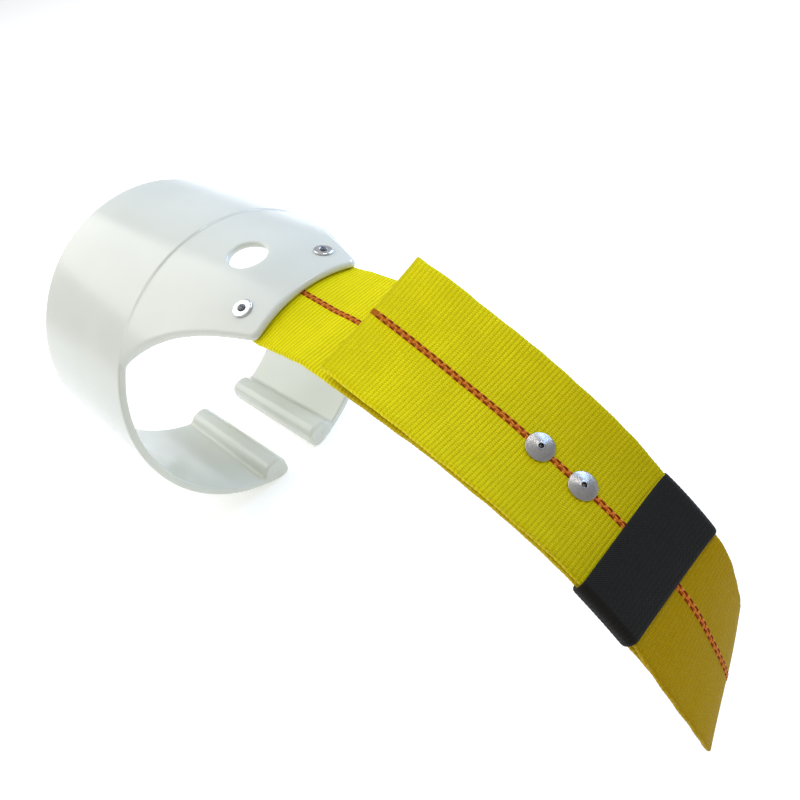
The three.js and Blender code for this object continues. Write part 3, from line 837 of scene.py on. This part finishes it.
# ------------------------------------------------------------------ rivets
def lathe(name, profile, at, normal, seg=72, turn=0.0):
    """Closed turned part: profile of (radius, height) running from the axis or back to its start."""
    prof = np.array(profile, float)
    n = Vector(normal).normalized()
    q = Vector((0, 0, 1)).rotation_difference(n)
    X, Yv = np.array(q @ Vector((1, 0, 0))), np.array(q @ Vector((0, 1, 0)))
    N = np.array(n)
    closed = np.allclose(prof[0], prof[-1]) and prof[0][0] > 1e-6
    if closed:
        prof = prof[:-1]
    th = np.linspace(0, 2 * np.pi, seg, endpoint=False) + turn
    V, rows = [], []
    for r_, h in prof:
        if r_ < 1e-6:
            rows.append([len(V)])
            V.append(np.array(at) + N * h)
        else:
            rows.append(list(range(len(V), len(V) + seg)))
            for t in th:
                V.append(np.array(at) + N * h + r_ * (X * math.cos(t) + Yv * math.sin(t)))
    F = []
    pairs = list(zip(rows, rows[1:] + ([rows[0]] if closed else [])))
    if not closed:
        pairs = pairs[:-1] if len(pairs) >= len(rows) else pairs
    for a, b in pairs:
        if len(a) == 1 and len(b) == 1:
            continue
        for j in range(seg):
            k = (j + 1) % seg
            if len(a) == 1:
                F.append([a[0], b[j], b[k]])
            elif len(b) == 1:
                F.append([a[j], b[0], a[k]])
            else:
                F.append([a[j], b[j], b[k], a[k]])
    me = bpy.data.meshes.new(name)
    me.from_pydata(to_row(np.array(V)).tolist(), [], F)
    me.update()
    bm = bmesh.new()
    bm.from_mesh(me)
    bmesh.ops.recalc_face_normals(bm, faces=bm.faces[:])
    bm.to_mesh(me)
    bm.free()
    me.polygons.foreach_set("use_smooth", np.ones(len(me.polygons), bool))
    ob = bpy.data.objects.new(name, me)
    bpy.context.scene.collection.objects.link(ob)
    rad = np.concatenate([[r_] if r_ < 1e-6 else np.full(seg, r_) for r_, h in prof])
    attribute(ob, "radius", rad)
    return ob


def arc_pts(cx, cy, r, a0, a1, n):
    return [(cx + r * math.cos(math.radians(a)), cy + r * math.sin(math.radians(a))) for a in np.linspace(a0, a1, n)]


def dome_profile(rf, hd, rim, hole, ring, depth):
    """Low domed head with a rounded rim and a small raised ring about a hole; underside flat at 0."""
    p = [(0, -depth + hd)]
    p += [(hole * 0.98, -depth + hd), (hole, -depth + hd + 0.1), (hole, hd - 0.02), (hole + 0.06, hd + 0.10), (hole + 0.16, hd + 0.15),
          (ring - 0.12, hd + 0.13), (ring, hd + 0.02), (ring + 0.14, hd - 0.055)]
    for t in np.linspace(0.12, 0.94, 11):
        r_ = ring + 0.14 + (rf - 0.22 - ring - 0.14) * t
        p.append((r_, rim + (hd - 0.055 - rim) * (1 - t ** 1.55)))
    p += arc_pts(rf - 0.24, rim - 0.24, 0.24, 62, -60, 7)
    p += [(rf - 0.35, 0.0), (rf * 0.6, 0.0)]
    return p


def place_strap_rivet(tag, s, shank_to):
    P_, T_, N_, A_, lean_ = strap_frame(np.array([s]))
    top = strap_points(np.array([s]), np.array([0.35 / 25]), np.array([-WEB_T / 2 - 0.10]))[0]
    n = np.array([-N_[0, 0], 0.0, -N_[0, 1]])
    roll = A_[0, 2] / 25.0
    n = n / np.linalg.norm(n)
    n = np.array([n[0], -roll, n[2]])
    n /= np.linalg.norm(n)
    head = dome_profile(4.8, 1.25, 0.52, 0.86, 1.22, 1.0)
    bottom = -(2 * WEB_T + GAP) - 0.15
    head += [(1.62, 0.0), (1.6, -0.1), (1.6, bottom - 0.85), (2.2, bottom - 0.9)] + arc_pts(2.2, bottom - 1.2, 0.3, 80, -70, 5) + \
            [(1.6, bottom - 1.85), (0.9, bottom - 1.95), (0, bottom - 1.97)]
    body = lathe(f"strap_rivet_{tag}", head, top, n, 80)
    man = [(0, 0.62), (0.30, 0.66), (0.46, 0.60), (0.60, 0.46), (0.66, 0.26), (0.66, 0.02), (0, 0.02)]
    man = [(r_, h - 0.36 + 0.62) for r_, h in man]
    stub = lathe(f"strap_mandrel_{tag}", man, top, n, 40)
    wz = bottom
    wash = [(1.95, wz - 0.08), (2.0, wz), (4.6, wz), (4.75, wz - 0.07), (4.8, wz - 0.2), (4.8, wz - 0.65), (4.74, wz - 0.78), (4.6, wz - 0.85),
            (2.0, wz - 0.85), (1.95, wz - 0.78), (1.95, wz - 0.08)]
    washer = lathe(f"strap_washer_{tag}", wash, top, n, 80)
    for ob, node, sl in ((body, f"strap_rivet_{tag}", "rivet_alloy"), (stub, f"strap_mandrel_{tag}", "rivet_steel"), (washer, f"strap_washer_{tag}", "rivet_alloy")):
        ob.name = ob.data.name = node + "_turned"
        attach(ob, "strap")
        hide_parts(node)
    return body, stub, washer


S_B = float(np.interp(I_EYE1 + 8, _par, _len))
ra = place_strap_rivet("a", S_B + 17.0, 0)
rb = place_strap_rivet("b", S_B, 0)


def place_cuff_rivet(side, sy):
    x, y = 52.2, 20.1 * sy + 0.6
    z = float(arch_z(np.array(x), np.array(y)))
    e = 0.05
    gx = float(arch_z(np.array(x + e), np.array(y)) - arch_z(np.array(x - e), np.array(y))) / (2 * e)
    gy = float(arch_z(np.array(x), np.array(y + e)) - arch_z(np.array(x), np.array(y - e))) / (2 * e)
    n = np.array([-gx, -gy, 1.0])
    n /= np.linalg.norm(n)
    at = np.array([x, y, z]) + n * 0.03
    stack = TT + GAP + WEB_T + 0.9
    head = [(0, 0.42), (1.30, 0.42), (1.42, 0.48), (1.48, 0.66), (1.60, 0.76), (1.95, 0.78), (3.1, 0.74)] + \
        [(3.45, 0.70), (3.68, 0.62), (3.82, 0.50), (3.9, 0.34), (3.9, 0.12), (3.84, 0.03), (3.72, 0.0)]
    head += [(1.72, 0.0), (1.7, -0.1), (1.7, -stack - 0.95), (2.3, -stack - 1.0)] + arc_pts(2.55, -stack - 1.35, 0.33, 80, -70, 5) + \
            [(1.8, -stack - 2.0), (0.9, -stack - 2.1), (0, -stack - 2.12)]
    body = lathe(f"cuff_rivet_{side}", head, at, n, 80)
    stub = [(0, 1.42), (0.35, 1.46), (0.62, 1.30), (0.80, 1.42), (1.05, 1.30), (1.22, 1.02), (1.30, 0.72), (1.30, 0.44), (0, 0.44)]
    pin = lathe(f"cuff_pin_{side}", stub, at, n, 40)
    me = pin.data
    co = np.zeros(len(me.vertices) * 3)
    me.vertices.foreach_get("co", co)
    co = co.reshape(-1, 3)
    c0 = to_row(at + n * 1.0)
    rel = co - c0
    hgt = rel @ n
    rough_ = rng.standard_normal(len(co)) * 0.00006 + 0.00009 * np.sin(rel[:, 0] * 5200 + 1.0) * np.sin(rel[:, 1] * 4300)
    co = co + n[None] * (rough_ * (hgt > -0.0001))[:, None]
    me.vertices.foreach_set("co", co.ravel())
    me.update()
    wz = -stack
    wash = [(2.05, wz - 0.08), (2.1, wz), (5.3, wz), (5.44, wz - 0.07), (5.5, wz - 0.2), (5.5, wz - 0.65), (5.44, wz - 0.78), (5.3, wz - 0.85),
            (2.1, wz - 0.85), (2.05, wz - 0.78), (2.05, wz - 0.08)]
    washer = lathe(f"cuff_washer_{side}", wash, at, n, 80)
    for ob, node in ((body, f"cuff_rivet_{side}"), (pin, f"cuff_rivet_{side}_stub"), (washer, f"cuff_washer_{side}")):
        ob.name = ob.data.name = node + "_turned"
        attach(ob, "cuff")
        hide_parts(node)
    return body, pin, washer


rn = place_cuff_rivet("near", -1)
rf_ = place_cuff_rivet("far", 1)

# ------------------------------------------------------------------ materials
class Nodes:
    def __init__(self, name):
        self.mat = bpy.data.materials.new(name)
        self.mat.use_nodes = True
        self.t = self.mat.node_tree
        self.b = self.t.nodes["Principled BSDF"]
        self.coord = None

    def node(self, kind, **kw):
        n = self.t.nodes.new(kind)
        for k, v in kw.items():
            setattr(n, k, v)
        return n

    def put(self, sock, v):
        if isinstance(v, bpy.types.NodeSocket):
            self.t.links.new(v, sock)
        else:
            sock.default_value = v

    def math(self, op, a, b=0.0, clamp=False):
        n = self.node("ShaderNodeMath", operation=op, use_clamp=clamp)
        self.put(n.inputs[0], a)
        self.put(n.inputs[1], b)
        return n.outputs[0]

    def attr(self, name):
        return self.node("ShaderNodeAttribute", attribute_name=name, attribute_type="GEOMETRY").outputs["Fac"]

    def xyz(self, x=0.0, y=0.0, z=0.0):
        n = self.node("ShaderNodeCombineXYZ")
        for s_, v in zip(n.inputs, (x, y, z)):
            self.put(s_, v)
        return n.outputs[0]

    def obj(self):
        return self.node("ShaderNodeTexCoord").outputs["Object"]

    def noise(self, vec, scale, detail=3.0, rough=0.55, dist=0.0):
        n = self.node("ShaderNodeTexNoise")
        self.put(n.inputs["Vector"], vec)
        n.inputs["Scale"].default_value = scale
        n.inputs["Detail"].default_value = detail
        n.inputs["Roughness"].default_value = rough
        n.inputs["Distortion"].default_value = dist
        return n.outputs["Fac"]

    def ramp(self, fac, stops, mode="LINEAR"):
        n = self.node("ShaderNodeValToRGB")
        n.color_ramp.interpolation = mode
        el = n.color_ramp.elements
        while len(el) < len(stops):
            el.new(0.5)
        for e, (p, c) in zip(el, stops):
            e.position = p
            e.color = (*c, 1)
        self.put(n.inputs[0], fac)
        return n.outputs[0]

    def mapr(self, v, a, b, c, d, smooth=False):
        n = self.node("ShaderNodeMapRange")
        if smooth:
            n.interpolation_type = "SMOOTHSTEP"
        self.put(n.inputs[0], v)
        for i, x in zip((1, 2, 3, 4), (a, b, c, d)):
            n.inputs[i].default_value = x
        return n.outputs[0]

    def mix(self, f, a, b):
        n = self.node("ShaderNodeMix", data_type="RGBA")
        self.put(n.inputs["Factor"], f)
        ins = [i for i in n.inputs if i.type == "RGBA"]
        for s_, v in zip(ins, (a, b)):
            self.put(s_, v if isinstance(v, bpy.types.NodeSocket) else (*v, 1))
        return [o for o in n.outputs if o.type == "RGBA"][0]

    def bump(self, h, strength, dist):
        n = self.node("ShaderNodeBump")
        n.inputs["Strength"].default_value = strength
        n.inputs["Distance"].default_value = dist
        self.put(n.inputs["Height"], h)
        self.put(self.b.inputs["Normal"], n.outputs[0])

    def set(self, **kw):
        for k, v in kw.items():
            self.put(self.b.inputs[k.replace("_", " ")], v)
        return self


def lin(r_, g_, b_):
    return tuple(((c / 255 + 0.055) / 1.055) ** 2.4 if c > 10 else c / 255 / 12.92 for c in (r_, g_, b_))


def paint(mat, *obs):
    for ob in obs:
        ob.data.materials.clear()
        ob.data.materials.append(mat)


# moulded nylon, milky white
M = Nodes("cuff_moulding_white")
o = M.obj()
flow = M.noise(o, 28, 2, 0.4)
fine = M.noise(o, 900, 2, 0.6)
col = M.mix(M.mapr(flow, 0.2, 0.8, 0, 1, True), lin(210, 214, 206), lin(217, 220, 212))
scuff = M.noise(o, 160, 4, 0.7, 1.2)
col = M.mix(M.mapr(scuff, 0.58, 0.85, 0, 0.10, True), col, lin(186, 190, 182))
soft = M.noise(o, 55, 2, 0.4)
M.set(Base_Color=col, Roughness=M.mapr(M.math("ADD", M.math("MULTIPLY", soft, 0.7), M.math("MULTIPLY", fine, 0.3)), 0.2, 0.8, 0.15, 0.22, True), Specular_IOR_Level=0.5, IOR=1.52)
M.b.inputs["Subsurface Weight"].default_value = 0.30
M.b.inputs["Subsurface Radius"].default_value = (1.0, 0.95, 0.85)
M.b.inputs["Subsurface Scale"].default_value = 0.004
M.bump(M.math("ADD", M.math("MULTIPLY", fine, 0.10), M.math("MULTIPLY", flow, 0.5)), 0.05, 0.0004)
paint(M.mat, cuff)

# yellow polyester webbing
M = Nodes("webbing_yellow")
rib, along, across, side, seal = (M.attr(k) for k in ("rib", "along", "across", "side", "seal"))
ribno = M.math("FLOOR", M.math("DIVIDE", along, RIB))
alt = M.math("MULTIPLY", M.math("MODULO", ribno, 2.0), 0.5)
wander = M.noise(M.xyz(M.math("MULTIPLY", along, 0.4), M.math("MULTIPLY", across, 0.25), side), 1.0, 2)
yarn = M.math("SINE", M.math("MULTIPLY", M.math("ADD", M.math("ADD", M.math("DIVIDE", across, 0.78), alt), M.math("MULTIPLY", wander, 1.2)), 6.28318))
yarn01 = M.mapr(yarn, -1, 1, 0, 1)
twist = M.noise(M.xyz(M.math("MULTIPLY", along, 1.6), M.math("MULTIPLY", M.math("ADD", across, M.math("MULTIPLY", along, 0.5)), 3.4), side), 1.0, 3, 0.6)
broad = M.noise(M.xyz(M.math("MULTIPLY", along, 0.06), M.math("MULTIPLY", across, 0.09), side), 1.0, 3)
per_rib = M.noise(M.xyz(ribno, M.math("MULTIPLY", across, 0.02), side), 0.77, 1)
# painted shade in the rib valleys and painted highlight on the rib and yarn crests: the colour follows the rib height
hgt = M.math("MULTIPLY", rib, M.math("ADD", 0.55, M.math("MULTIPLY", yarn01, 0.45)))
hgt = M.math("MULTIPLY", hgt, M.math("SUBTRACT", 1.0, M.math("MULTIPLY", seal, 0.6)))
col = M.ramp(hgt, [(0.0, lin(200, 184, 2)), (0.30, lin(230, 216, 4)), (0.62, lin(244, 232, 6)), (1.0, lin(254, 247, 20))])
col = M.mix(M.mapr(broad, 0.3, 0.7, 0.0, 0.30), col, lin(205, 196, 8))
col = M.mix(M.mapr(per_rib, 0.3, 0.7, 0.0, 0.10), col, lin(240, 232, 40))
col = M.mix(M.mapr(twist, 0.45, 0.75, 0.0, 0.20), col, lin(160, 144, 4))
col = M.mix(M.math("MULTIPLY", seal, 0.55), col, lin(206, 196, 20))
# painted shade: the yellow darkens from the free end back toward the keeper and the loop, and a painted contact shadow
# browns the run lying under the upper layer
S_OV = S_EYE0 - (LENGTH - S_EYE1)
# painted shade on the upper run, strongest near the keeper and fading toward the free end
painted_run_shade = M.math("MULTIPLY", M.mapr(along, S_EYE1 + 10, S_EYE1 + 120, 0.80, 0, True), M.mapr(along, S_EYE0 - 4, S_EYE0, 0, 1))
col = M.mix(painted_run_shade, col, lin(176, 156, 2))
# painted contact shadow on the run that lies under the upper layer
painted_contact_shadow = M.math("MULTIPLY", M.mapr(along, S_OV + 2, S_OV + 16, 0, 0.75, True), M.mapr(along, S_EYE0 - 30, S_EYE0 - 8, 1, 0))
col = M.mix(painted_contact_shadow, col, lin(182, 150, 2))
# painted shade: the eye loop, which faces away from the key light, is tinted darker amber
painted_loop_shade = M.math("MULTIPLY", M.mapr(along, S_EYE0 - 34, S_EYE0 - 10, 0, 1, True), M.mapr(along, S_EYE1 + 8, S_EYE1 + 34, 1, 0, True))
col = M.mix(M.math("MULTIPLY", painted_loop_shade, 0.92), col, lin(174, 139, 1))
# worn threads show pale along the selvage
wear = M.math("MULTIPLY", M.mapr(M.math("ABSOLUTE", across), 24.3, 25.2, 0, 1), M.mapr(M.noise(M.xyz(along, across, side), 0.8, 3), 0.45, 0.7, 0, 0.35))
col = M.mix(wear, col, lin(236, 228, 120))
# coloured ground under the tracer threads
tr = M.math("ABSOLUTE", M.math("SUBTRACT", across, TRACER_Y))
col = M.mix(M.mapr(tr, 1.0, 1.25, 0.9, 0.0), col, lin(178, 84, 22))
M.set(Base_Color=col, Roughness=M.mapr(twist, 0.3, 0.7, 0.50, 0.68))
M.b.inputs["Specular IOR Level"].default_value = 0.05
M.b.inputs["Sheen Weight"].default_value = 0.0
M.b.inputs["Sheen Roughness"].default_value = 0.45
M.b.inputs["Sheen Tint"].default_value = (1.0, 0.95, 0.5, 1)
M.bump(M.math("ADD", M.math("MULTIPLY", yarn01, 0.8), M.math("MULTIPLY", twist, 0.5)), 0.8, 0.00026)
paint(M.mat, webbing)

# tracer threads: dark red-brown floats, orange between
M = Nodes("tracer_threads")
kind, along, tone = (M.attr(k) for k in ("kind", "along", "tone"))
fil = M.noise(M.obj(), 5200, 2, 0.6)
dark = M.mix(M.mapr(fil, 0.35, 0.7, 0, 1), lin(116, 10, 1), lin(146, 24, 3))
orange = M.mix(M.mapr(fil, 0.35, 0.7, 0, 1), lin(212, 108, 26), lin(236, 156, 62))
col = M.mix(kind, orange, dark)
col = M.mix(M.math("MULTIPLY", tone, 0.10), col, lin(206, 104, 34))
M.set(Base_Color=col, Roughness=M.mapr(fil, 0.3, 0.7, 0.45, 0.62))
M.b.inputs["Specular IOR Level"].default_value = 0.12
M.bump(fil, 0.35, 0.0001)
paint(M.mat, tracer)

# black woven keeper
M = Nodes("keeper_black_weave")
al, ac = M.attr("along"), M.attr("across")
w1 = M.math("SINE", M.math("MULTIPLY", al, 6.28318 / 0.85))
w2 = M.math("SINE", M.math("MULTIPLY", ac, 6.28318 / 0.75))
weave = M.mapr(M.math("MULTIPLY", w1, w2), -1, 1, 0, 1)
fuzz = M.noise(M.obj(), 2600, 3, 0.7)
br = M.noise(M.obj(), 90, 3, 0.6)
col = M.mix(weave, lin(13, 12, 9), lin(30, 28, 23))
col = M.mix(M.mapr(fuzz, 0.5, 0.8, 0, 0.35), col, lin(42, 39, 32))
col = M.mix(M.mapr(br, 0.35, 0.7, 0, 0.25), col, lin(30, 30, 27))
M.set(Base_Color=col, Roughness=M.mapr(fuzz, 0.3, 0.7, 0.62, 0.82))
M.b.inputs["Specular IOR Level"].default_value = 0.12
M.b.inputs["Sheen Weight"].default_value = 0.05
M.b.inputs["Sheen Roughness"].default_value = 0.5
M.bump(M.math("ADD", weave, M.math("MULTIPLY", fuzz, 0.7)), 0.5, 0.00025)
paint(M.mat, keeper)
M = Nodes("keeper_lap_weave")
o = M.obj()
fuzz = M.noise(o, 2600, 3, 0.7)
wv = M.node("ShaderNodeTexWave", wave_type="BANDS", bands_direction="Y")
M.put(wv.inputs["Vector"], o)
wv.inputs["Scale"].default_value = 380
wv.inputs["Distortion"].default_value = 0.4
col = M.mix(wv.outputs["Fac"], lin(26, 26, 23), lin(48, 47, 42))
col = M.mix(M.mapr(fuzz, 0.5, 0.8, 0, 0.4), col, lin(66, 64, 58))
M.set(Base_Color=col, Roughness=M.mapr(fuzz, 0.3, 0.7, 0.62, 0.82))
M.b.inputs["Sheen Weight"].default_value = 0.15
M.bump(M.math("ADD", wv.outputs["Fac"], fuzz), 0.5, 0.00025)
paint(M.mat, lap)
M = Nodes("keeper_thread")
fuzz = M.noise(M.obj(), 4200, 3, 0.7)
M.set(Base_Color=M.mix(fuzz, lin(34, 33, 30), lin(74, 71, 64)), Roughness=M.mapr(fuzz, 0.3, 0.7, 0.5, 0.7))
M.bump(fuzz, 0.4, 0.00012)
paint(M.mat, stitches)


def metal(name, c0, c1, r0, r1, scale, aniso=0.0, ringy=0.0):
    M = Nodes(name)
    o = M.obj()
    n1 = M.noise(o, scale, 4, 0.65)
    n2 = M.noise(o, scale * 7, 2, 0.6)
    rad = M.attr("radius")
    rings = M.mapr(M.math("SINE", M.math("MULTIPLY", rad, 34.0)), -1, 1, 0, 1)
    col = M.mix(M.mapr(n1, 0.35, 0.68, 0, 1), c0, c1)
    M.set(Base_Color=col, Roughness=M.math("ADD", M.mapr(n1, 0.3, 0.7, r0, r1), M.math("MULTIPLY", n2, 0.05)), Metallic=1.0)
    M.bump(M.math("ADD", n2, M.math("MULTIPLY", rings, ringy)), 0.18, 0.00008)
    return M.mat


alloy = metal("rivet_satin_alloy", lin(168, 166, 163), lin(182, 180, 177), 0.25, 0.29, 1500, ringy=1.2)
bright = metal("rivet_bright_steel", lin(196, 198, 201), lin(224, 226, 228), 0.12, 0.24, 420, ringy=0.4)
darkpin = metal("rivet_pin_steel", lin(52, 54, 60), lin(150, 152, 158), 0.22, 0.45, 1500)
paint(alloy, ra[0], rb[0], ra[2], rb[2])
paint(bright, rn[0], rf_[0], rn[2], rf_[2])
paint(darkpin, ra[1], rb[1], rn[1], rf_[1])

# ------------------------------------------------------------------ what rides on what
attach(cuff, "cuff"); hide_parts("cuff_shell")
for ob in (webbing, tracer):
    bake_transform(ob)
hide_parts("webbing_root", "webbing_strap")
for ob, node in ((keeper, ("keeper_sleeve",)), (lap, ("keeper_lap",)), (stitches, ("keeper_stitch_a", "keeper_stitch_b"))):
    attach(ob, "keeper")
    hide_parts(*node)

# ------------------------------------------------------------------ floor and light
def plane(name, size, z):
    me = bpy.data.meshes.new(name)
    me.from_pydata([(-size, -size, z), (size, -size, z), (size, size, z), (-size, size, z)], [], [(0, 1, 2, 3)])
    ob = bpy.data.objects.new(name, me)
    bpy.context.scene.collection.objects.link(ob)
    return ob


floor = plane("floor", 6.0, -0.0004)
M = Nodes("floor_paper")
M.set(Base_Color=M.mix(M.noise(M.obj(), 3, 2), lin(247, 247, 247), lin(249, 249, 249)), Roughness=0.9)
M.b.inputs["Specular IOR Level"].default_value = 0.1
M.b.inputs["Emission Color"].default_value = (1, 1, 1, 1)
M.b.inputs["Emission Strength"].default_value = 0.32
paint(M.mat, floor)

world = bpy.data.worlds.new("studio")
bpy.context.scene.world = world
world.use_nodes = True
wt = world.node_tree
bg = wt.nodes["Background"]
tc = wt.nodes.new("ShaderNodeTexCoord")
sep = wt.nodes.new("ShaderNodeSeparateXYZ")
wt.links.new(tc.outputs["Generated"], sep.inputs[0])


def wmath(op, a, b):
    n = wt.nodes.new("ShaderNodeMath")
    n.operation = op
    for s_, v in zip(n.inputs, (a, b)):
        if isinstance(v, bpy.types.NodeSocket):
            wt.links.new(v, s_)
        else:
            s_.default_value = v
    return n.outputs[0]


lum = wmath("ADD", wmath("MULTIPLY", sep.outputs["Z"], 0.12), wmath("MULTIPLY", sep.outputs["X"], -0.14))
lum = wmath("ADD", lum, wmath("MULTIPLY", sep.outputs["Y"], -0.07))
lum = wmath("MAXIMUM", wmath("ADD", lum, 0.46), 0.16)
comb = wt.nodes.new("ShaderNodeCombineColor")
for k in range(3):
    wt.links.new(lum, comb.inputs[k])
wt.links.new(comb.outputs[0], bg.inputs["Color"])
bg.inputs["Strength"].default_value = 1.0


def area(name, at, to, size, power, color=(1, 1, 1)):
    li = bpy.data.lights.new(name, "AREA")
    li.shape = "RECTANGLE"
    li.size, li.size_y = size
    li.energy = power
    li.color = color
    ob = bpy.data.objects.new(name, li)
    bpy.context.scene.collection.objects.link(ob)
    ob.location = at
    ob.rotation_euler = (Vector(to) - Vector(at)).to_track_quat("-Z", "Y").to_euler()
    return ob


area("key", (-0.72, -0.30, 0.80), (0.0, 0.0, 0.08), (1.0, 1.0), 6.0)
area("back_strip", (-0.05, 0.85, 0.50), (-0.08, 0.0, 0.1), (0.8, 0.22), 6.0, (0.42, 0.62, 1.0))
area("top_box", (0.10, 0.45, 0.95), (0.08, 0.0, 0.08), (0.22, 0.22), 1.3)

bpy.context.scene.view_settings.view_transform = "Standard"
bpy.context.scene.view_settings.look = "None"

bpy.context.view_layer.update()
